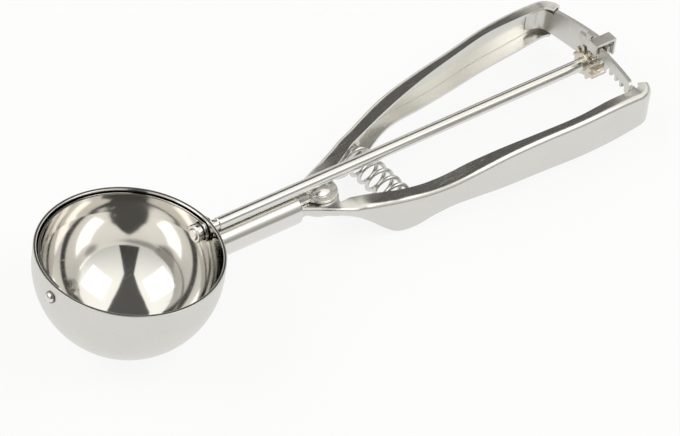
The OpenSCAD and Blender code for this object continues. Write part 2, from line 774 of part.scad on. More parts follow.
module return_spring() {
    rings = [for (k = [0 : len(coil_line) - 1]) coil_ring(k)];
    points = [for (r = rings) for (p = r) p];
    n = len(rings);
    walls = [for (i = [0 : n - 2]) for (k = [0 : wire_sides - 1])
        let (a = i * wire_sides + k, b = i * wire_sides + (k + 1) % wire_sides,
             c = b + wire_sides, d = a + wire_sides)
        each [[a, c, b], [a, d, c]]];
    last = (n - 1) * wire_sides;
    caps = [for (k = [1 : wire_sides - 2]) each [[0, k, k + 1], [last, last + k + 1, last + k]]];
    color("silver") rest_pose()
        polyhedron(points = points, faces = concat(walls, caps), convexity = 8);
}

bowl();
neck();
shaft_bushing();
front_pivot_pin();
front_pin_washer();
scraper();
scraper_hub();
shaft();
shaft_retaining_pin();
pinion();
pinion_collar();
shaft_end_ring();
pivot_rivet();
rivet_washers();
fixed_handle();
lever_handle();
bearing_strip();
rack_keeper();
toothed_rack();
return_spring();
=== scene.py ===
# %% [markdown]
# # A lever ice cream scoop, dressed from its CAD frame
# The CAD model gives every piece its place. This notebook gives each piece a smooth mesh with real
# edges and a worn metal surface, and builds a photo studio round it. Shapes are drawn in
# millimetres in the scoop's own frame: its origin is the centre of the bowl's sphere, X runs along
# the shaft to the tail, Y to the fixed handle and Z out of the bowl.

# %% Load the CAD frame
import bpy
import bmesh
import json
from math import asin, cos, degrees, hypot, pi, radians, sin, sqrt
from mathutils import Matrix, Vector


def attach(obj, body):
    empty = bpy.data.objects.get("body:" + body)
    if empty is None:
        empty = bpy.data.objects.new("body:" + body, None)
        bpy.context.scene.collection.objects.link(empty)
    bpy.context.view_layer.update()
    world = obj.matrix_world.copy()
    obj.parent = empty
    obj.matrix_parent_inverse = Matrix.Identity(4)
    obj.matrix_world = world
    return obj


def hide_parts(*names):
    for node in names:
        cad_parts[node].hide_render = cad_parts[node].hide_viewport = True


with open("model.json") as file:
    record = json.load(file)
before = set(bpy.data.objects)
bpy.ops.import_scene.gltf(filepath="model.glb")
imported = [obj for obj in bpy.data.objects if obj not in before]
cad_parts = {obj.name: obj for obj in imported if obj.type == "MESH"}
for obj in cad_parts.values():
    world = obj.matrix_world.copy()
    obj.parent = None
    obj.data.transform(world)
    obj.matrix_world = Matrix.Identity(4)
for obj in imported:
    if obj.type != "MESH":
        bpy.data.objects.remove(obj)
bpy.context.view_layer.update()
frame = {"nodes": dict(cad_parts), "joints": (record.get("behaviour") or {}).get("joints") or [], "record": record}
joints = {joint["name"]: joint for joint in frame["joints"]}

# %% [markdown]
# ## How the scoop lies on the table
# The real scoop rests on its bowl and on both finger rests, so its shaft is tilted. The tilt could
# be typed in, but the scraper's joint already tells it: the joint sits at the centre of the bowl,
# and its axis is the shaft. One matrix shrinks, turns and moves the drawing onto the table.

# %% From the scoop's frame to the table
METRES_PER_MM = 0.001
shaft_joint = joints["scraper_turn"]
bowl_centre = Vector(shaft_joint["pos_m"])
tilt = asin(shaft_joint["axis"][2])
LAY = (Matrix.Translation(bowl_centre) @ Matrix.Rotation(tilt, 4, "Y")
       @ Matrix.Scale(METRES_PER_MM, 4))
print("rest tilt:", round(degrees(tilt), 3), "degrees")

# %% [markdown]
# ## Shared sizes
# These lengths are shared by several pieces, and have the values of the CAD model. Every other
# length stands beside the piece that needs it.

# %% Sizes that several pieces share, in millimetres
BOWL_R = 28.0
BOWL_WALL = 1.0
SHAFT_R = 1.95
SHAFT_FRONT_R = 1.6
BUSHING_END = 29.5
RIVET_R = 2.0
WALL = 0.9
PIVOT_X = 70.2
BEARING_R = 107.1
BEARING_T = 1.2
BEARING_X = PIVOT_X + BEARING_R
print("bowl:", 2 * BOWL_R, "mm across, shaft carried at", BEARING_X, "mm")

# %% [markdown]
# ## Worn metal
# Stainless steel is never one flat grey. Polishing leaves fine brush lines, handling leaves cloudy
# patches, and use leaves a few hairline scratches. A picture of steel could carry them, but nodes
# stay sharp at any distance: one noise, stretched along the polishing direction, makes the lines,
# and two more make the patches and the scratches. They change the roughness and the bump, so they
# show where light grazes the metal.

# %% Add a node: its settings by name, and its sockets as values or as links
def add_node(tree, kind, sockets=None, **settings):
    node = tree.nodes.new(kind)
    for key, value in settings.items():
        setattr(node, key, value)
    for key, value in (sockets or {}).items():
        if isinstance(value, bpy.types.NodeSocket):
            tree.links.new(value, node.inputs[key])
        else:
            node.inputs[key].default_value = value
    return node


def maths(tree, operation, *values):
    node = add_node(tree, "ShaderNodeMath", dict(enumerate(values)), operation=operation)
    return node.outputs["Value"]


def remap(tree, value, low, high, from_value, to_value, interpolation="LINEAR"):
    sockets = {"Value": value, "From Min": low, "From Max": high,
               "To Min": from_value, "To Max": to_value}
    node = add_node(tree, "ShaderNodeMapRange", sockets, interpolation_type=interpolation)
    return node.outputs["Result"]


def mix_colours(tree, share, first, second, blend_type="MIX"):
    sockets = {"Factor": share, "A": first, "B": second}
    node = add_node(tree, "ShaderNodeMix", sockets, data_type="RGBA", blend_type=blend_type)
    return node.outputs["Result"]


def mapped(tree, vector, **turn_and_scale):
    node = add_node(tree, "ShaderNodeMapping", {"Vector": vector, **turn_and_scale})
    return node.outputs["Vector"]


def noise(tree, vector, scale, detail, roughness=0.5):
    sockets = {"Vector": vector, "Scale": scale, "Detail": detail, "Roughness": roughness}
    return add_node(tree, "ShaderNodeTexNoise", sockets).outputs["Fac"]


# %% One worn metal, with lines, bump and cloud as strong as its finish needs
SCRATCH_TURN = (0.4, 0.3, 0.9)
SCRATCH_STRETCH = (25.0, 700.0, 300.0)
SCRATCH_BAND = (0.66, 0.74)
SCRATCH_ROUGHNESS = 0.10
BRUSH_BAND = (0.3, 0.7)
SMOOTHEST = 0.02
PATCH_SHADE = 0.9
BRUSH_HEIGHT = 0.00004


def metal(name, colour, rough, swing, lines, bump, cloud):
    mat = bpy.data.materials.new(name)
    mat.use_nodes = True
    tree = mat.node_tree
    place = add_node(tree, "ShaderNodeTexCoord").outputs["Object"]
    along_shaft = mapped(tree, place, Rotation=(0.0, -tilt, 0.0))
    stretched = mapped(tree, along_shaft, Scale=lines)
    brush = noise(tree, stretched, scale=3.0, detail=6.0, roughness=0.6)
    patches = noise(tree, along_shaft, scale=45.0, detail=4.0, roughness=0.55)
    across = mapped(tree, along_shaft, Rotation=SCRATCH_TURN, Scale=SCRATCH_STRETCH)
    scratch = noise(tree, across, scale=2.0, detail=2.0)
    scratches = remap(tree, scratch, *SCRATCH_BAND, 0.0, SCRATCH_ROUGHNESS)
    brushed = remap(tree, brush, *BRUSH_BAND, max(SMOOTHEST, rough - swing), rough + swing)
    worn = maths(tree, "MULTIPLY_ADD", patches, cloud, maths(tree, "ADD", brushed, scratches))
    shade = [c * PATCH_SHADE for c in colour]
    relief = add_node(tree, "ShaderNodeBump",
                      {"Strength": bump, "Distance": BRUSH_HEIGHT, "Height": brush})
    shader = tree.nodes["Principled BSDF"]
    shader.inputs["Metallic"].default_value = 1.0
    tree.links.new(mix_colours(tree, patches, (*colour, 1.0), (*shade, 1.0)),
                   shader.inputs["Base Color"])
    tree.links.new(worn, shader.inputs["Roughness"])
    tree.links.new(relief.outputs["Normal"], shader.inputs["Normal"])
    return mat


print("bump:", BRUSH_HEIGHT * 1000, "mm high at most")

# %% The finishes, each with the stretch of its lines along X, Y and Z
EVEN_LINES = (300, 300, 300)
STEEL_INSIDE = metal("bowl_mirror_steel", (0.80, 0.785, 0.755), 0.07, 0.02,
                     lines=(60, 60, 60), bump=0.02, cloud=0.02)
STEEL_OUTSIDE = metal("bowl_satin_steel", (0.70, 0.69, 0.655), 0.28, 0.05,
                      lines=(60, 60, 900), bump=0.12, cloud=0.05)
STEEL_HANDLE = metal("handle_satin_steel", (0.71, 0.70, 0.665), 0.20, 0.05,
                     lines=(30, 700, 900), bump=0.12, cloud=0.05)
STEEL_POLISHED = metal("polished_steel", (0.76, 0.748, 0.72), 0.13, 0.04,
                       lines=(30, 700, 700), bump=0.06, cloud=0.04)
STEEL_PIVOT = metal("pivot_steel", (0.80, 0.788, 0.76), 0.20, 0.05,
                    lines=EVEN_LINES, bump=0.08, cloud=0.05)
STEEL_SHEET = metal("rolled_sheet_steel", (0.68, 0.67, 0.635), 0.30, 0.08,
                    lines=(500, 500, 60), bump=0.2, cloud=0.08)
STEEL_WIRE = metal("spring_wire_steel", (0.70, 0.69, 0.665), 0.16, 0.05,
                   lines=EVEN_LINES, bump=0.1, cloud=0.05)
# Dark grey steel. On the front pin's shim this dark colour is painted shade: the shadow ring under the pin's head.
DARK_STEEL_AND_SHADE = metal("dark_steel_and_painted_shade", (0.30, 0.29, 0.28), 0.4, 0.08,
                   lines=EVEN_LINES, bump=0.15, cloud=0.05)
BRASS_NICKEL = metal("nickel_plated_brass", (0.70, 0.655, 0.57), 0.26, 0.08,
                     lines=(60, 600, 600), bump=0.2, cloud=0.08)
print("materials:", len(bpy.data.materials))

# %% [markdown]
# ## From a bmesh to a piece
# A bmesh is a mesh that a script can edit with operators. When it is done, it is laid on the table
# and becomes an object. Real metal has no perfectly sharp edge, and its small rounding is what
# catches the light. Each edge could be rounded by hand, but a bevel modifier finds them all by
# their angle. Each piece also hides the CAD nodes it stands for, and rides on their body.

# %% Turn a bmesh into a piece of the scoop
body_of_node = {n: b for b, names in frame["record"]["behaviour"]["bodies"].items() for n in names}


def make_piece(bm, name, nodes, mats, sharp, edge=0.0, segments=2, lay=True):
    if lay:
        bmesh.ops.transform(bm, matrix=LAY, verts=bm.verts[:])
    bmesh.ops.recalc_face_normals(bm, faces=bm.faces[:])
    mesh = bpy.data.meshes.new(name)
    bm.to_mesh(mesh)
    bm.free()
    piece = bpy.data.objects.new(name, mesh)
    bpy.context.scene.collection.objects.link(piece)
    for mat in mats:
        mesh.materials.append(mat)
    for poly in mesh.polygons:
        poly.use_smooth = True
    if edge:
        soft = piece.modifiers.new("edges", "BEVEL")
        soft.width = edge * METRES_PER_MM
        soft.segments = segments
        soft.limit_method = "ANGLE"
        soft.angle_limit = radians(sharp)
        soft.harden_normals = True
        soft.use_clamp_overlap = True
        weighted = piece.modifiers.new("normals", "WEIGHTED_NORMAL")
        weighted.keep_sharp = True
    else:
        mesh.set_sharp_from_angle(angle=radians(sharp))
    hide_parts(*nodes)
    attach(piece, body_of_node[nodes[0]])
    return piece


# %% [markdown]
# ## Helpers for turned, stamped and bent pieces
# The scoop's pieces are made in three ways, and each has its own operator. What comes off a lathe
# is a profile that is spun. What is stamped from sheet is a flat plan that is extruded. What is
# bent from sheet or wire is a row of sections, each bridged to the next.

# %% An arc of points, and a profile of (distance along the axis, radius) that is spun
MERGE_MM = 1e-4
AXES = {"X": Vector((1, 0, 0)), "Y": Vector((0, 1, 0)), "Z": Vector((0, 0, 1))}


def arc(cx, cy, r, a0, a1, steps):
    turns = [radians(a0 + (a1 - a0) * i / steps) for i in range(steps + 1)]
    return [(cx + r * cos(a), cy + r * sin(a)) for a in turns]


def lathe(bm, profile, axis="X", origin=(0, 0, 0), steps=64, closed=False):
    origin, along = Vector(origin), AXES[axis]
    out = AXES["X"] if axis == "Z" else AXES["Z"]
    verts = [bm.verts.new(origin + along * a + out * r) for a, r in profile]
    edges = [bm.edges.new(pair) for pair in zip(verts, verts[1:])]
    if closed:
        edges.append(bm.edges.new((verts[-1], verts[0])))
    bmesh.ops.spin(bm, geom=verts + edges, cent=origin, axis=along, angle=2 * pi, steps=steps,
                   use_merge=True)
    bmesh.ops.remove_doubles(bm, verts=bm.verts[:], dist=MERGE_MM)


def turned_piece(name, node, mat, profile, **spin):
    bm = bmesh.new()
    lathe(bm, profile, **spin)
    return make_piece(bm, name, [node], [mat], sharp=30)


# %% A flat plan with a hole, extruded to a plate
def thicken(bm, faces, move):
    grown = bmesh.ops.extrude_face_region(bm, geom=faces)["geom"]
    bmesh.ops.translate(bm, vec=move, verts=[g for g in grown if isinstance(g, bmesh.types.BMVert)])


def slab(bm, outline, hole, z0, thickness, side=1):
    edges = []
    for line in (outline, hole):
        verts = [bm.verts.new((x, side * y, z0)) for x, y in line]
        edges += [bm.edges.new(pair) for pair in zip(verts, verts[1:] + verts[:1])]
    filled = bmesh.ops.triangle_fill(bm, edges=edges, use_beauty=True)["geom"]
    faces = [g for g in filled if isinstance(g, bmesh.types.BMFace)]
    thicken(bm, faces, (0, 0, thickness))


# %% A row of closed sections bridged into a tube, and a bent sheet with both its ends closed
def bridge_sections(bm, sections, back_to_first=False):
    rings, chains = [], []
    for points in sections:
        verts = [bm.verts.new(point) for point in points]
        rings.append(verts)
        chains.append([bm.edges.new(pair) for pair in zip(verts, verts[1:] + verts[:1])])
    for a, b in zip(chains, chains[1:] + (chains[:1] if back_to_first else [])):
        bmesh.ops.bridge_loops(bm, edges=a + b)
    return rings


def bent_sheet(bm, sections):
    """Each section runs along one skin of the sheet and comes back along the other."""
    rings = bridge_sections(bm, sections)
    for end in (rings[0], rings[-1]):
        for k in range(len(end) // 2 - 1):
            bm.faces.new((end[k], end[k + 1], end[-2 - k], end[-1 - k]))


# %% A copy of a CAD node, with its loose triangles merged into clean faces
MERGE_M = 2e-6
FLAT = radians(1.0)


def from_cad(node, name, mat, edge, sharp):
    bm = bmesh.new()
    bm.from_mesh(frame["nodes"][node].data)
    bmesh.ops.remove_doubles(bm, verts=bm.verts[:], dist=MERGE_M)
    bmesh.ops.dissolve_limit(bm, angle_limit=FLAT, verts=bm.verts[:], edges=bm.edges[:])
    return make_piece(bm, name, [node], [mat], sharp, edge, lay=False)


print("helpers: lathe, slab, bent sheet, CAD copy")

# %% [markdown]
# ## The bowl
# The real bowl is spun from one disc of sheet, and so is this one: a single profile runs up the
# outside, over the rounded rim and down the inside. Half a sphere with a Solidify modifier would be
# quicker, but its rim would be square. The inside gets a mirror finish, because only that was
# buffed, and the outside stays satin.

# %% Spin the bowl
RIM = 4.5
RIM_ROUND = 0.22
BOWL_STEPS = 180


def bowl_profile():
    inner_r, top = BOWL_R - BOWL_WALL, RIM - RIM_ROUND
    outside = arc(0, 0, BOWL_R, 180, 90, 30) + [(top * k / 3, BOWL_R) for k in (1, 2)]
    rim = (arc(top, BOWL_R - RIM_ROUND, RIM_ROUND, 90, 0, 6)
           + arc(top, inner_r + RIM_ROUND, RIM_ROUND, 0, -90, 6))
    inside = [(top * k / 3, inner_r) for k in (2, 1)] + arc(0, 0, inner_r, 90, 180, 30)
    return outside + rim + inside


bm = bmesh.new()
lathe(bm, bowl_profile(), axis="Z", steps=BOWL_STEPS)
for face in bm.faces:
    c = face.calc_center_median()
    reach = c.length if c.z < 0 else hypot(c.x, c.y)
    face.material_index = 1 if reach < BOWL_R - BOWL_WALL / 2 else 0
bowl = make_piece(bm, "bowl_shell", ["bowl"], [STEEL_OUTSIDE, STEEL_INSIDE], sharp=60)
print("bowl faces:", len(bowl.data.polygons))

# %% [markdown]
# ## The scraper
# A thin strip sweeps the bowl clean when the handles are squeezed. It lies just inside the bowl,
# from the front pin round to the shaft, with a round eye at each end. A strip cut out of a sphere
# would have uneven faces, so sections across the strip are laid on the sphere one after another.

# %% Lay the scraper's sections on the sphere
SCRAPER_OUT = BOWL_R - BOWL_WALL - 0.35
SCRAPER_IN = SCRAPER_OUT - 0.7
SCRAPER_HALF_W = 3.4
SCRAPER_ACROSS = [-1, -0.6, -0.2, 0.2, 0.6, 1]
PARK = radians(0.433745)
LEAST_EYE = 0.01


def scraper_stations():
    """(part of the strip, its angle or its distance past the axis), from eye to eye."""
    eye = [("eye", -SCRAPER_HALF_W * cos(radians(a))) for a in range(6, 90, 7)]
    sweep = [("sweep", radians(a)) for a in range(0, 181, 2)]
    return eye + sweep + [("far eye", y) for _, y in reversed(eye)]


def scraper_point(part, value, across, radius):
    if part == "sweep":
        z = SCRAPER_HALF_W * across
        reach = sqrt(radius ** 2 - z ** 2)
        return Vector((-reach * cos(value), reach * sin(value), z))
    z = sqrt(max(SCRAPER_HALF_W ** 2 - value ** 2, LEAST_EYE)) * across
    x = sqrt(radius ** 2 - value ** 2 - z ** 2)
    return Vector((-x if part == "eye" else x, value, z))


parked = Matrix.Rotation(PARK, 4, "X")
sections = []
for part, value in scraper_stations():
    outer = [parked @ scraper_point(part, value, v, SCRAPER_OUT) for v in SCRAPER_ACROSS]
    inner = [parked @ scraper_point(part, value, v, SCRAPER_IN) for v in SCRAPER_ACROSS]
    sections.append(outer + inner[::-1])
bm = bmesh.new()
bent_sheet(bm, sections)
scraper = make_piece(bm, "scraper_strip", ["scraper"], [STEEL_INSIDE], sharp=40, edge=0.16)
print("scraper faces:", len(scraper.data.polygons))

# %% [markdown]
# ## The shaft and its bearings in the bowl
# The shaft, its hub, the bushing and the pins are all turned on a lathe, so each is a profile with
# small chamfers or a domed head. A cylinder with a bevel would lack the shoulders and the domes.

# %% Profiles of a chamfered rim, of a rod and a ring that have it, and of a domed head
def rim_profile(x0, x1, r, c):
    return [(x0, r - c), (x0 + c, r), (x1 - c, r), (x1, r - c)]


def rod_profile(x0, x1, r, c):
    return [(x0, 0)] + rim_profile(x0, x1, r, c) + [(x1, 0)]


def ring_profile(x0, x1, r_in, r_out, c):
    bore = [(x1, r_in + c), (x1 - c, r_in), (x0 + c, r_in)]
    return [(x0, r_in + c)] + rim_profile(x0, x1, r_out, c) + bore


def dome_profile(base, tip, r, steps=8):
    h = abs(tip - base)
    big = (r * r + h * h) / (2 * h)
    side = 1 if tip > base else -1
    turns = [asin(r / big) * (1 - k / steps) for k in range(steps + 1)]
    return [(tip - side * big * (1 - cos(a)), big * sin(a)) for a in turns]


# %% The shaft, with a thin front end and a turned shoulder, and the scraper's hub on it
HUB_END = SCRAPER_IN - 0.3
HUB_START = HUB_END - 2.0
HUB_R = 2.8
HUB_CHAMFER = 0.3
TIP_X = HUB_START - 0.3
TIP_CHAMFER = 0.2
SHOULDER_X = BUSHING_END + 2.6
SHOULDER_CHAMFER = 0.15
SHAFT_END = BEARING_X + 2.6
END_CHAMFER = 0.3
SHAFT_SPLITS = (100, 150)
tip = [(TIP_X, 0), (TIP_X, SHAFT_FRONT_R - TIP_CHAMFER), (TIP_X + TIP_CHAMFER, SHAFT_FRONT_R)]
shoulder = [(SHOULDER_X, SHAFT_FRONT_R), (SHOULDER_X, SHAFT_R - SHOULDER_CHAMFER),
            (SHOULDER_X + SHOULDER_CHAMFER, SHAFT_R)]
rear = [(SHAFT_END - END_CHAMFER, SHAFT_R), (SHAFT_END, SHAFT_R - END_CHAMFER), (SHAFT_END, 0)]
turned_piece("scraper_shaft_rod", "shaft", STEEL_POLISHED,
             tip + shoulder + [(x, SHAFT_R) for x in SHAFT_SPLITS] + rear)
turned_piece("scraper_hub_collar", "scraper_hub", STEEL_POLISHED,
             ring_profile(HUB_START, HUB_END, SHAFT_FRONT_R, HUB_R, HUB_CHAMFER), closed=True)
print("shaft:", round(SHAFT_END - TIP_X, 1), "mm long")

# %% The bushing in the bowl's wall, with its flange outside
BUSHING_START = 26.9
BUSHING_BORE = 1.65
BUSHING_R = 2.8
BUSHING_CHAMFER = 0.1
FLANGE_R = 3.8
FLANGE_END = BOWL_R + 1.0
FLANGE_CHAMFER = 0.15
front = [(BUSHING_START, BUSHING_BORE), (BUSHING_START, BUSHING_R), (BOWL_R, BUSHING_R)]
back = [(FLANGE_END, BUSHING_R), (BUSHING_END - BUSHING_CHAMFER, BUSHING_R),
        (BUSHING_END, BUSHING_R - BUSHING_CHAMFER), (BUSHING_END, BUSHING_BORE)]
turned_piece("bushing_turned", "shaft_bushing", STEEL_POLISHED,
             front + rim_profile(BOWL_R, FLANGE_END, FLANGE_R, FLANGE_CHAMFER) + back, closed=True)
print("bushing:", round(BUSHING_END - BUSHING_START, 1), "mm long")

# %% The front pin, domed outside and flat inside, and the washer under its head
PIN_R = 1.0
PIN_HEAD_R = 1.5
PIN_HEAD_H = 1.0
PIN_STEPS = 48
SHIM_R = 1.9
SHIM_CHAMFER = 0.08
SHIM_X = -BOWL_R - 0.4
INNER_HEAD_X = -25.3
INNER_HEAD_END = -24.8
INNER_HEAD_CHAMFER = 0.15
INNER_HEAD_ROUND = 0.05
inner_head = [(INNER_HEAD_X, PIN_R), (INNER_HEAD_X, PIN_HEAD_R - INNER_HEAD_CHAMFER),
              (INNER_HEAD_X + INNER_HEAD_CHAMFER, PIN_HEAD_R),
              (INNER_HEAD_END - INNER_HEAD_ROUND, PIN_HEAD_R),
              (INNER_HEAD_END, PIN_HEAD_R - INNER_HEAD_ROUND), (INNER_HEAD_END, 0)]
turned_piece("front_pin_turned", "front_pivot_pin", STEEL_POLISHED,
             dome_profile(SHIM_X, SHIM_X - PIN_HEAD_H, PIN_HEAD_R)[::-1] + [(SHIM_X, PIN_R)]
             + inner_head, steps=PIN_STEPS)
# The shim's dark grey is painted shade, the shadow ring under the pin's head.
turned_piece("front_pin_shim", "front_pin_washer", DARK_STEEL_AND_SHADE,
             ring_profile(SHIM_X, -BOWL_R, PIN_R, SHIM_R, SHIM_CHAMFER),
             closed=True, steps=PIN_STEPS)
print("front pin:", round(INNER_HEAD_END - SHIM_X + PIN_HEAD_H, 1), "mm long")

# %% The retaining pin across the shaft
RETAINING_X = BUSHING_END + 0.9
RETAINING_HALF = 2.1
RETAINING_R = 0.6
RETAINING_CHAMFER = 0.15
turned_piece("retaining_pin_turned", "shaft_retaining_pin", STEEL_POLISHED,
             rod_profile(-RETAINING_HALF, RETAINING_HALF, RETAINING_R, RETAINING_CHAMFER),
             axis="Z", origin=(RETAINING_X, 0, 0), steps=32)
print("retaining pin:", 2 * RETAINING_HALF, "mm long")

# %% [markdown]
# ## The pivot
# One rivet joins the two tongues of the neck and the four ears of the handles, which lie between
# the tongues in turn. So the height of everything here follows from the thickness of the sheets. A
# real rivet's head is pressed into a dome, and the same dome profile closes both ends.

# %% Heights of the tongues and ears
NECK_R = 5.2
NECK_WALL = 1.0
NECK_TOP = -2.25
NECK_FLAT_IN = NECK_TOP - 0.3
NECK_Z = NECK_FLAT_IN - (NECK_R - NECK_WALL)
NECK_END = PIVOT_X - 9.4
HEAD_H = 1.2
WASHER_H = 0.25
HINGE_GAP = 0.12
EAR_PITCH = WALL + HINGE_GAP
TONGUE_TOP = NECK_TOP - HEAD_H - WASHER_H
CLEVIS_TOP = TONGUE_TOP - NECK_WALL
TONGUE_LOW = CLEVIS_TOP - 4 * EAR_PITCH - HINGE_GAP - NECK_WALL
TONGUE_R = 5.8
EAR_R = TONGUE_R + 0.5
print("pivot stack:", round(TONGUE_TOP - TONGUE_LOW, 2), "mm high")

# %% The rivet with two domed heads, on thin washers
RIVET_HEAD_R = 3.6
RIVET_WASHER_R = 4.1
RIVET_WASHER_CHAMFER = 0.06
PIVOT_STEPS = 72
upper, lower = TONGUE_TOP + WASHER_H, TONGUE_LOW - WASHER_H
lower_head = dome_profile(lower, lower - HEAD_H, RIVET_HEAD_R)[::-1]
upper_head = dome_profile(upper, upper + HEAD_H, RIVET_HEAD_R)
turned_piece("pivot_rivet_headed", "pivot_rivet", STEEL_PIVOT,
             lower_head + [(lower, RIVET_R), (upper, RIVET_R)] + upper_head,
             axis="Z", origin=(PIVOT_X, 0, 0), steps=PIVOT_STEPS)
bm = bmesh.new()
for z in (TONGUE_TOP, lower):
    lathe(bm, ring_profile(z, z + WASHER_H, RIVET_R, RIVET_WASHER_R, RIVET_WASHER_CHAMFER),
          axis="Z", origin=(PIVOT_X, 0, 0), closed=True, steps=PIVOT_STEPS)
make_piece(bm, "rivet_washers_turned", ["rivet_washers"], [STEEL_PIVOT], sharp=30)
print("rivet:", round(upper - lower + 2 * HEAD_H, 2), "mm over its heads")

# %% [markdown]
# ## The neck
# The real neck is a tube folded from sheet, with a flattened top along which the shaft runs. Its
# front end is cut to the bowl's sphere. Cutting it with a boolean would leave ragged edges, so each
# point of the front ring is put on the sphere instead. At the back, two stamped tongues hold the
# rivet, and a small wall closes the tube above them.

# %% The tube, from the bowl's surface or the bushing's flange to the clevis
NECK_STEPS = 72
FLANGE_GAP = 0.05
FLANGE_SEAT_R = FLANGE_R + 0.02


def neck_start(y, z):
    away = hypot(y, z)
    behind_flange = FLANGE_END + FLANGE_GAP if away < FLANGE_SEAT_R else 0.0
    return max(sqrt(BOWL_R ** 2 - away ** 2), behind_flange)


def neck_ring(radius, top):
    turns = [2 * pi * k / NECK_STEPS for k in range(NECK_STEPS)]
    return [(radius * cos(a), min(NECK_Z + radius * sin(a), top)) for a in turns]


outer, inner = neck_ring(NECK_R, NECK_TOP), neck_ring(NECK_R - NECK_WALL, NECK_FLAT_IN)
bm = bmesh.new()
bridge_sections(bm, [[(neck_start(y, z), y, z) for y, z in outer],
                     [(NECK_END, y, z) for y, z in outer],
                     [(NECK_END, y, z) for y, z in inner],
                     [(neck_start(y, z), y, z) for y, z in inner]], back_to_first=True)
make_piece(bm, "neck_tube", ["neck"], [STEEL_POLISHED], sharp=35, edge=0.15)
print("neck tube:", round(NECK_END - BOWL_R, 1), "mm long")

# %% The two tongues: discs on narrow stems
STEM_HALF_W = (TONGUE_R - NECK_WALL / 2) / 2
ROOT_HALF_W = NECK_R - 1.2 * NECK_WALL
ROOT_LEN = 2.4


def pivot_hole(r):
    return arc(PIVOT_X, 0, r, 0, 350, 35)


def tongue_outline():
    half = degrees(asin(STEM_HALF_W / TONGUE_R))
    root = [(NECK_END - ROOT_LEN, ROOT_HALF_W), (NECK_END - ROOT_LEN, -ROOT_HALF_W),
            (NECK_END, -ROOT_HALF_W), (NECK_END, -STEM_HALF_W)]
    disc = arc(PIVOT_X, 0, TONGUE_R, -180 + half, 180 - half, 72)
    return root + disc + [(NECK_END, STEM_HALF_W), (NECK_END, ROOT_HALF_W)]


bm = bmesh.new()
for z in (TONGUE_LOW, CLEVIS_TOP):
    slab(bm, tongue_outline(), pivot_hole(RIVET_R), z, NECK_WALL)
make_piece(bm, "neck_tongues", ["neck"], [STEEL_PIVOT], sharp=50, edge=0.22, segments=3)
print("tongues:", 2 * TONGUE_R, "mm across")

# %% The wall that closes the tube's end above the upper tongue
WALL_OVERLAP = 0.02
wall_r = NECK_R - NECK_WALL + WALL_OVERLAP
from_a, to_a = [degrees(asin((z - NECK_Z) / wall_r)) for z in (CLEVIS_TOP, NECK_FLAT_IN)]
half_wall = arc(0, NECK_Z, wall_r, from_a, to_a, 12)
wall_line = half_wall + [(-y, z) for y, z in reversed(half_wall)]
bm = bmesh.new()
face = bm.faces.new([bm.verts.new((NECK_END - NECK_WALL, y, z)) for y, z in wall_line])
thicken(bm, [face], (NECK_WALL - WALL_OVERLAP, 0, 0))
make_piece(bm, "neck_end_wall", ["neck"], [STEEL_POLISHED], sharp=50, edge=0.1)
print("end wall:", round(NECK_FLAT_IN - CLEVIS_TOP, 2), "mm high")

# %% [markdown]
# ## The handles
# Each handle is one strip of sheet, pressed into a channel and bent to the hand: a web on the
# outside, and a flange above and below. A box with a Solidify modifier can't follow how the
# flanges widen at the finger rest. So a smooth curve runs through a few stations, and at each of
# its points a C-shaped section is drawn. Two ears with a hole, and the spring's seat, are added to
# the same mesh.

# %% The stations of a handle, from the pivot over the grip to the tail
HANDLE_LEN = BEARING_R - 5.3
TAIL_HALF_W = 25.9
TAIL_TOP = 5.5
TAIL_LOW = -6.6
TAIL_FLAT_X = PIVOT_X + HANDLE_LEN
TOP_DEPTH = 4.2
LOW_DEPTH = 4.9

# each grip station: share of the handle's length, share of the tail's half width, top and lower
# edge of the web, and depth of the upper and lower flange
GRIP = [(0.108, 0.482, -6.1, -12.6, 5.4, 3.2), (0.157, 0.554, -5.7, -16.3, 5, 3.8),
        (0.196, 0.616, -5.2, -17.9, 4.7, 4.4), (0.246, 0.677, -4.7, -16.9, 4.6, 5),
        (0.295, 0.737, -3.8, -14, 4.8, 5.4), (0.354, 0.797, -2.3, -11.7, 5.1, 5.2),
        (0.422, 0.84, -0.5, -11, 5.1, 4.7), (0.53, 0.878, 1.6, -11, 4.3, 4.5),
        (0.658, 0.924, 3.2, -10.1, 3.6, 4.6), (0.786, 0.982, 4.7, -9, 3.6, LOW_DEPTH),
        (0.904, 1, 5.6, -8, TOP_DEPTH, LOW_DEPTH), (1, 1, TAIL_TOP, TAIL_LOW, TOP_DEPTH, LOW_DEPTH)]


def ear_top(level):
    return CLEVIS_TOP - HINGE_GAP - level * EAR_PITCH


def handle_stations(level, spread):
    """Spread is how far the web stands outside the ear at the first four stations."""
    top, low = ear_top(level), ear_top(level + 2) - WALL
    front = [(NECK_END + 0.6, EAR_R + spread[0], top, low, 3, 3),
             (PIVOT_X - 0.63 * EAR_R, EAR_R + spread[1], top, low, 3, 3),
             (PIVOT_X + 0.16 * EAR_R, EAR_R + spread[2], top, low, 3.4, 3),
             (PIVOT_X + 0.95 * EAR_R, EAR_R + spread[3], (top - 6.3) / 2, -9.2, 5.6, 3)]
    return front + [(PIVOT_X + x * HANDLE_LEN, y * TAIL_HALF_W, *rest) for x, y, *rest in GRIP]


print("grip stations:", len(GRIP), "web at the tail:", TAIL_TOP - TAIL_LOW, "mm high")

# %% The smooth path through the stations, and the curl at the tail
CURL_R = 7.0
CURL_END = 72.0
TOP_DRAW = 0.4
LOW_DRAW = 1.4


def between(a, b, c, d, t):
    """The smooth curve through four stations, at the share t of the way from b to c."""
    return [0.5 * (2 * q + (r - p) * t + (2 * p - 5 * q + 4 * r - s) * t * t
                   + (3 * q - p - 3 * r + s) * t ** 3) for p, q, r, s in zip(a, b, c, d)]


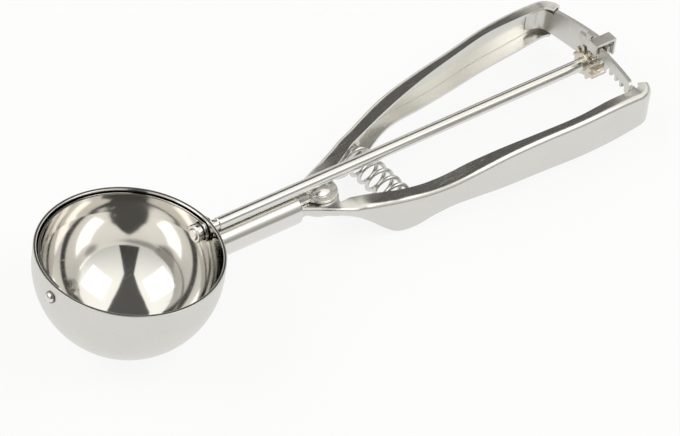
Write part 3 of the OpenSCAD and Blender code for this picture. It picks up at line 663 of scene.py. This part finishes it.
def handle_path(level, spread, steps=7, curl_steps=16):
    rows = handle_stations(level, spread)
    last = len(rows) - 1
    path = []
    for i in range(last):
        a, b, c, d = rows[max(0, i - 1)], rows[i], rows[i + 1], rows[min(last, i + 2)]
        path += [between(a, b, c, d, s / steps) for s in range(steps)]
    path.append(list(rows[-1]))
    for k in range(1, curl_steps + 1):
        a = radians(CURL_END * k / curl_steps)
        bend = 1 - cos(a)
        path.append([TAIL_FLAT_X + CURL_R * sin(a), TAIL_HALF_W - CURL_R * bend,
                     TAIL_TOP - TOP_DRAW * bend, TAIL_LOW + LOW_DRAW * bend,
                     TOP_DEPTH - TOP_DRAW * bend, LOW_DEPTH - LOW_DRAW * bend])
    return path


# %% One C-shaped section of the channel: skin 0 is the outside and skin 1 the inside
CORNER_R = 1.9
CORNER_SHARE = 0.34
LOW_R = 1.0
LEAST_R = 0.2


def inward(path, i):
    a, b = path[max(0, i - 1)], path[min(len(path) - 1, i + 1)]
    along = Vector((b[0] - a[0], b[1] - a[1])).normalized()
    return Vector((along.y, -along.x))


def half_section(depth, radius, skin, corner=8):
    t = WALL * skin
    r = max(LEAST_R, min(radius, depth - LEAST_R) - t)
    turns = [radians(90 * k / corner) for k in range(corner + 1)]
    return [(depth, t)] + [(t + r * (1 - sin(a)), t + r * (1 - cos(a))) for a in turns]


def handle_section(path, i, skin, side):
    x, y, high, low, top_depth, low_depth = path[i]
    n = inward(path, i)
    over = half_section(top_depth, min(CORNER_R, CORNER_SHARE * (high - low)), skin)
    under = half_section(low_depth, LOW_R, skin)
    return ([(x + n.x * d, side * (y + n.y * d), high - e) for d, e in over]
            + [(x + n.x * d, side * (y + n.y * d), low + e) for d, e in reversed(under)])


# %% The ears round the rivet, and the spring's seat, cut off at the middle of the web
EAR_HOLE_R = RIVET_R + 0.05
EAR_START, EAR_END = 170, 370
EAR_STATIONS = 15
SPRING_X = 93.6
SPRING_LOW = 10.8
SEAT_Y = 14.9371
BOSS_LEN = 2.5
BOSS_R = 2.7
BOSS_CHAMFER = 0.2
SEAT_R = 4.95
SEAT_CHAMFER = 0.1
SEAT_REACH = 6.0


def add_ears(bm, path, side, level):
    web = [(row[0] + inward(path, i).x * WALL / 2, row[1] + inward(path, i).y * WALL / 2)
           for i, row in enumerate(path[:EAR_STATIONS])]
    ear = arc(PIVOT_X, 0, EAR_R, EAR_START, EAR_END, 44)
    for k in (level, level + 2):
        slab(bm, ear + web[::-1], pivot_hole(EAR_HOLE_R), ear_top(k) - WALL, WALL, side)


def add_seat(bm, path, side):
    seat = [(0, 0), (0, BOSS_R - BOSS_CHAMFER), (BOSS_CHAMFER, BOSS_R), (BOSS_LEN, BOSS_R),
            (BOSS_LEN, SEAT_R - SEAT_CHAMFER), (BOSS_LEN + SEAT_CHAMFER, SEAT_R),
            (SEAT_REACH, SEAT_R), (SEAT_REACH, 0)]
    before = set(bm.verts)
    lathe(bm, [(side * (SEAT_Y - BOSS_LEN + a), r) for a, r in seat], axis="Y",
          origin=(SPRING_X, 0, -SPRING_LOW))
    for vert in bm.verts:
        if vert not in before:
            a, b = next((p, q) for p, q in zip(path, path[1:]) if q[0] > vert.co.x)
            share = (vert.co.x - a[0]) / (b[0] - a[0])
            web_y = a[1] + (b[1] - a[1]) * share - WALL / 2
            vert.co.y = side * min(abs(vert.co.y), web_y)


# %% Bend both handles
def build_handle(name, node, side, level, spread):
    path = handle_path(level, spread)
    bm = bmesh.new()
    bent_sheet(bm, [handle_section(path, i, 0, side) + handle_section(path, i, 1, side)[::-1]
                    for i in range(len(path))])
    add_ears(bm, path, side, level)
    add_seat(bm, path, side)
    handle = make_piece(bm, name, [node], [STEEL_HANDLE], sharp=50, edge=0.2)
    print(name, "faces:", len(handle.data.polygons))


build_handle("fixed_handle_sheet", "fixed_handle", 1, 1, (-2.1, 0.1, 1.7, 3.8))
build_handle("lever_handle_sheet", "lever_handle", -1, 0, (-2.4, 0.4, 3.6, 5.5))

# %% [markdown]
# ## The return spring
# An open coil of steel wire pushes the handles apart, and its ends sit on the bosses of the two
# seats. A Screw modifier makes a coil too, but not the short straight ends. So circles are set
# along the coil's line, and each is bridged to the next.

# %% Wind the spring
SPRING_R = 4.1
WIRE_R = 0.65
WIRE_SIDES = 14
SPRING_TURNS = 7
STEPS_PER_TURN = 32


def coil_line():
    reach = SEAT_Y - WIRE_R * 3
    total = SPRING_TURNS * STEPS_PER_TURN
    line = [Vector((SPRING_X + SPRING_R, -SEAT_Y, -SPRING_LOW))]
    for i in range(total + 1):
        a = 2 * pi * i / STEPS_PER_TURN
        line.append(Vector((SPRING_X + SPRING_R * cos(a), -reach + 2 * reach * i / total,
                            -SPRING_LOW + SPRING_R * sin(a))))
    line.append(Vector((SPRING_X + SPRING_R, SEAT_Y, -SPRING_LOW)))
    return line


def wire_circle(line, i):
    centre = line[i]
    along = (line[min(i + 1, len(line) - 1)] - line[max(i - 1, 0)]).normalized()
    out = centre - Vector((SPRING_X, centre.y, -SPRING_LOW))
    out = (out - along * out.dot(along)).normalized()
    turns = [2 * pi * s / WIRE_SIDES for s in range(WIRE_SIDES)]
    return [centre + WIRE_R * (out * cos(a) + along.cross(out) * sin(a)) for a in turns]


line = coil_line()
bm = bmesh.new()
circles = bridge_sections(bm, [wire_circle(line, i) for i in range(len(line))])
bm.faces.new(circles[0])
bm.faces.new(circles[-1])
spring = make_piece(bm, "return_spring_coil", ["return_spring"], [STEEL_WIRE], sharp=50)
print("spring faces:", len(spring.data.polygons))

# %% [markdown]
# ## The keeper, the rack and the pinion
# These three are stamped or cut, and the CAD already has their exact flat shapes and teeth. They
# could be drawn again, but teeth that don't match would clash when the lever moves. So each is a
# clean copy of its CAD node, with small rounded edges added.

# %% Clean copies of the stamped and cut pieces
from_cad("rack_keeper", "rack_keeper_bracket", STEEL_OUTSIDE, edge=0.2, sharp=35)
from_cad("toothed_rack", "toothed_rack_strip", STEEL_SHEET, edge=0.1, sharp=35)
pinion = from_cad("pinion", "pinion_cut", BRASS_NICKEL, edge=0.08, sharp=40)
print("pinion faces:", len(pinion.data.polygons))

# %% [markdown]
# ## The bearing strip and the rings on the shaft's rear end
# The strip carries the shaft between the handles' tails. It runs along an arc round the pivot, so
# the rack can slide along it, and then bends flat against the fixed handle. The CAD's arc has
# coarse steps that would show in the polish, so the strip is bent again here, with finer ones.

# %% The strip's line and its upper edge, which slopes down and then steps under the flange
STRIP_PAST_SHAFT = 3.5
BEARING_LOW = 4.2
BEARING_HIGH = 6.5
TAB_LEN = 3
TAB_TAPER = 0.2
STEP_MARGIN = 2.2
SLOPE_START = 3
SLOPE_END_ABOVE = 0.2
TAB_TOP_GAP = 0.1
BEND_SKIP = 5
BEND_START = 4.3
bend_y = TAIL_HALF_W - BEND_START
bend_a = degrees(asin(bend_y / BEARING_R))
tab_y = TAIL_HALF_W - WALL - BEARING_T / 2
bend_r = (tab_y - bend_y) / (1 - sin(radians(bend_a)))
bend_cx = PIVOT_X + (BEARING_R - bend_r) * cos(radians(bend_a))
bend_cy = bend_y - bend_r * sin(radians(bend_a))
start_a = degrees(asin(-STRIP_PAST_SHAFT / BEARING_R))


def strip_line(off):
    sweep = arc(PIVOT_X, 0, BEARING_R + off, start_a, bend_a, 48)
    bend = arc(bend_cx, bend_cy, bend_r + off, bend_a + BEND_SKIP, 90, 12)
    return sweep + bend + [(TAIL_FLAT_X - TAB_LEN, tab_y + max(off, BEARING_T / 2 - TAB_TAPER))]


def strip_top(y):
    step_y = TAIL_HALF_W - TOP_DEPTH - STEP_MARGIN
    slope_low = TAIL_TOP - WALL + SLOPE_END_ABOVE
    if y > step_y:
        return TAIL_TOP - TOP_DRAW - CORNER_R - TAB_TOP_GAP
    sloped = max(0.0, y - SLOPE_START) / (step_y - SLOPE_START)
    return BEARING_HIGH - sloped * (BEARING_HIGH - slope_low)


# %% Bend the strip
sections = []
for (xi, yi), (xo, yo) in zip(strip_line(-BEARING_T / 2), strip_line(BEARING_T / 2)):
    top = strip_top((yi + yo) / 2)
    sections.append([(xi, yi, -BEARING_LOW), (xo, yo, -BEARING_LOW), (xo, yo, top), (xi, yi, top)])
bm = bmesh.new()
bent_sheet(bm, sections)
make_piece(bm, "bearing_strip_sheet", ["bearing_strip"], [STEEL_SHEET], sharp=35, edge=0.15)
print("strip bend radius:", round(bend_r, 2), "mm")

# %% The collar in front of the pinion, and the ring behind the strip
COLLAR_X = 170.4
COLLAR_R = 3.6
END_RING_X = 178.2
END_RING_R = 3.0
RING_LEN = 1.0
RING_CHAMFER = 0.15
for name, node, mat, x, r in (
        ("pinion_collar_turned", "pinion_collar", BRASS_NICKEL, COLLAR_X, COLLAR_R),
        ("shaft_end_ring_turned", "shaft_end_ring", DARK_STEEL_AND_SHADE, END_RING_X, END_RING_R)):
    turned_piece(name, node, mat, ring_profile(x, x + RING_LEN, SHAFT_R, r, RING_CHAMFER),
                 closed=True)

# %% [markdown]
# ## The camera
# The photo was taken with a long lens from above and beside the bowl, with the camera held a little
# askew. It is set up in the scoop's own frame, with its turn, height and roll as angles, and then
# laid on the table with the same matrix as the pieces.

# %% The camera: where it stood and what it looked at, in the scoop's frame
PHOTO_WIDTH_PX = 680
FOCAL_PX = 7638.8
SENSOR_MM = 36.0
FARTHEST_M = 50.0
AZ, EL, ROLL = radians(-43.844), radians(41.063), radians(8.363)
AIM = Vector((64.671, -16.622, 0.0))
DISTANCE = 2217.8
look = Vector((sin(-AZ) * cos(EL), cos(AZ) * cos(EL), -sin(EL)))
level_right = Vector((cos(AZ), sin(AZ), 0.0))
level_up = level_right.cross(look)
laid = LAY.to_3x3().normalized()
view_right = laid @ (cos(ROLL) * level_right + sin(ROLL) * level_up)
view_up = laid @ (-sin(ROLL) * level_right + cos(ROLL) * level_up)
view_back = laid @ (-look)
pose = Matrix((view_right, view_up, view_back)).transposed().to_4x4()
pose.translation = LAY @ (AIM - look * DISTANCE)

camera_data = bpy.data.cameras.new("camera")
camera_data.sensor_width = SENSOR_MM
camera_data.lens = FOCAL_PX / PHOTO_WIDTH_PX * SENSOR_MM
camera_data.clip_end = FARTHEST_M
camera = bpy.data.objects.new("camera", camera_data)
bpy.context.scene.collection.objects.link(camera)
camera.matrix_world = pose
bpy.context.scene.camera = camera
print("camera at", [round(c, 3) for c in pose.translation])

# %% [markdown]
# ## The floor
# The photo's ground is white paper, lit so brightly that only the soft shadows remain. Paper lit by
# the lamps alone comes out grey. So it is mixed with a plain white glow, but only for what the
# camera and the steel see. The light that it throws on the scoop stays that of matte paper.

# %% White paper that keeps its shadows
PAPER_WHITE = 0.93
PAPER_ROUGHNESS = 0.9
GLOW_SHARE = 0.86
paper = bpy.data.materials.new("floor_paper")
paper.use_nodes = True
tree = paper.node_tree
sheet = tree.nodes["Principled BSDF"]
sheet.inputs["Base Color"].default_value = (PAPER_WHITE, PAPER_WHITE, PAPER_WHITE, 1.0)
sheet.inputs["Roughness"].default_value = PAPER_ROUGHNESS
glow = add_node(tree, "ShaderNodeEmission", {"Strength": 1.0})
rays = add_node(tree, "ShaderNodeLightPath").outputs
seen = maths(tree, "MAXIMUM", rays["Is Camera Ray"], rays["Is Glossy Ray"])
seen = maths(tree, "MAXIMUM", seen, rays["Is Transmission Ray"])
share = maths(tree, "MULTIPLY", seen, GLOW_SHARE)
blend = add_node(tree, "ShaderNodeMixShader",
                 {"Fac": share, 1: sheet.outputs["BSDF"], 2: glow.outputs["Emission"]})
tree.links.new(blend.outputs["Shader"], tree.nodes["Material Output"].inputs["Surface"])
print("paper nodes:", len(tree.nodes))

# %% The sheet of paper, just under the scoop
FLOOR_HALF = 3.0
FLOOR_DROP = 0.0002
bm = bmesh.new()
bmesh.ops.create_grid(bm, x_segments=8, y_segments=8, size=FLOOR_HALF)
mesh = bpy.data.meshes.new("floor")
bm.to_mesh(mesh)
bm.free()
mesh.materials.append(paper)
floor = bpy.data.objects.new("floor", mesh)
floor.location.z = -FLOOR_DROP
bpy.context.scene.collection.objects.link(floor)
print("floor:", 2 * FLOOR_HALF, "m wide")

# %% [markdown]
# ## The lights
# Two soft boxes, far out to the left and right, throw the faint shadows and brighten the bowl's
# sides. They stand that far out so that the dark gap between them stays dark: nearer to the camera,
# their reflections would cover it.

# %% Two soft boxes that face the scoop
BOX_TURN = 72
BOX_RISE = 50
BOX_DISTANCE = 1.5
BOX_SIZE = 0.8
BOX_POWER = 2.4
BOX_AIM = Vector((0, 0, 0.02))
UP = Vector((0, 0, 1))
to_side = Vector((view_right.x, view_right.y, 0)).normalized()
to_front = Vector((view_back.x, view_back.y, 0)).normalized()


def toward(turn, rise):
    """Direction that lies turn degrees to the right of the camera and rise degrees up."""
    level = to_front * cos(radians(turn)) + to_side * sin(radians(turn))
    return level * cos(radians(rise)) + UP * sin(radians(rise))


for name, turn in (("left_box", -BOX_TURN), ("right_box", BOX_TURN)):
    light = bpy.data.lights.new(name, "AREA")
    light.shape = "RECTANGLE"
    light.size = light.size_y = BOX_SIZE
    light.energy = BOX_POWER
    lamp = bpy.data.objects.new(name, light)
    lamp.location = toward(turn, BOX_RISE) * BOX_DISTANCE
    lamp.rotation_euler = (BOX_AIM - lamp.location).to_track_quat("-Z", "Y").to_euler()
    bpy.context.scene.collection.objects.link(lamp)
    print(name, "at", [round(c, 2) for c in lamp.location])

# %% [markdown]
# ## The tent
# Polished steel shows nothing but its surroundings. Here they are a white tent with a dark gap,
# which runs from the camera over the top to the back and is narrow in front and wide behind. In the
# bowl the gap shows as a dark hourglass. Cards could be hung round the scoop, but a world made of
# nodes has soft edges and costs no light. The camera itself sees plain white instead of the tent.

# %% Directions in the tent: how high, how far aside, and how far over from front to back
GAP = [(0, 15), (15, 14.5), (35, 10.5), (59, 6), (75, 11), (95, 18), (113, 22), (127, 19),
       (141, 15), (150, 9), (157, 0)]  # (degrees over, half of the gap's width in degrees)
GAP_UNIT = 60.0
HALF_TURN = 180
world = bpy.data.worlds.new("tent")
bpy.context.scene.world = world
world.use_nodes = True
sky = world.node_tree
outward = add_node(sky, "ShaderNodeTexCoord").outputs["Generated"]


def share_along(direction):
    node = add_node(sky, "ShaderNodeVectorMath", {0: outward, 1: direction},
                    operation="DOT_PRODUCT")
    return node.outputs["Value"]


up_share = share_along(UP)
aside = maths(sky, "ABSOLUTE", maths(sky, "ARCSINE", share_along(to_side)))
aside = maths(sky, "MULTIPLY", aside, degrees(1))
over = maths(sky, "DIVIDE", maths(sky, "ARCTAN2", up_share, share_along(to_front)), pi)
gap = add_node(sky, "ShaderNodeValToRGB", {"Fac": over})
stops = gap.color_ramp.elements
while len(stops) < len(GAP):
    stops.new(0.5)
for stop, (angle, half) in zip(stops, GAP):
    stop.position = angle / HALF_TURN
    stop.color = (half / GAP_UNIT, half / GAP_UNIT, half / GAP_UNIT, 1.0)
beyond_gap = maths(sky, "SUBTRACT", aside, maths(sky, "MULTIPLY", gap.outputs["Color"], GAP_UNIT))
print("gap stops:", len(stops))

# %% The tent's brightness: a wall all round, brighter panels on both sides, and the dark gap
WALL_LOW, WALL_HIGH = 0.42, 0.58
WALL_TOP_SHARE = 0.9
PANEL_FOOT = (sin(radians(11)), sin(radians(15)))
PANEL_EDGE = (58.0, 66.0)
PANEL_FRONT, PANEL_BACK = 0.18, 0.68
PANEL_RISE = (15 / HALF_TURN, 80 / HALF_TURN)
GAP_EDGE = 0.8
GAP_DARK = 0.09
TENT_TINT = (1.0, 0.985, 0.935, 1.0)
WHITE = (1.0, 1.0, 1.0, 1.0)


def smooth(value, low, high, from_value, to_value):
    return remap(sky, value, low, high, from_value, to_value, "SMOOTHSTEP")


panel = maths(sky, "MULTIPLY", smooth(up_share, *PANEL_FOOT, 0.0, 1.0),
              smooth(aside, *PANEL_EDGE, 1.0, 0.0))
extra = maths(sky, "MULTIPLY", panel, smooth(over, *PANEL_RISE, PANEL_FRONT, PANEL_BACK))
tent_wall = smooth(up_share, 0.0, WALL_TOP_SHARE, WALL_LOW, WALL_HIGH)
brightness = maths(sky, "MULTIPLY", maths(sky, "ADD", tent_wall, extra),
                   smooth(beyond_gap, -GAP_EDGE, GAP_EDGE, GAP_DARK, 1.0))
tinted = mix_colours(sky, 1.0, brightness, TENT_TINT, blend_type="MULTIPLY")
camera_ray = add_node(sky, "ShaderNodeLightPath").outputs["Is Camera Ray"]
sky.links.new(mix_colours(sky, camera_ray, tinted, WHITE), sky.nodes["Background"].inputs["Color"])
bpy.context.scene.view_settings.view_transform = "Standard"
print("tent nodes:", len(sky.nodes))
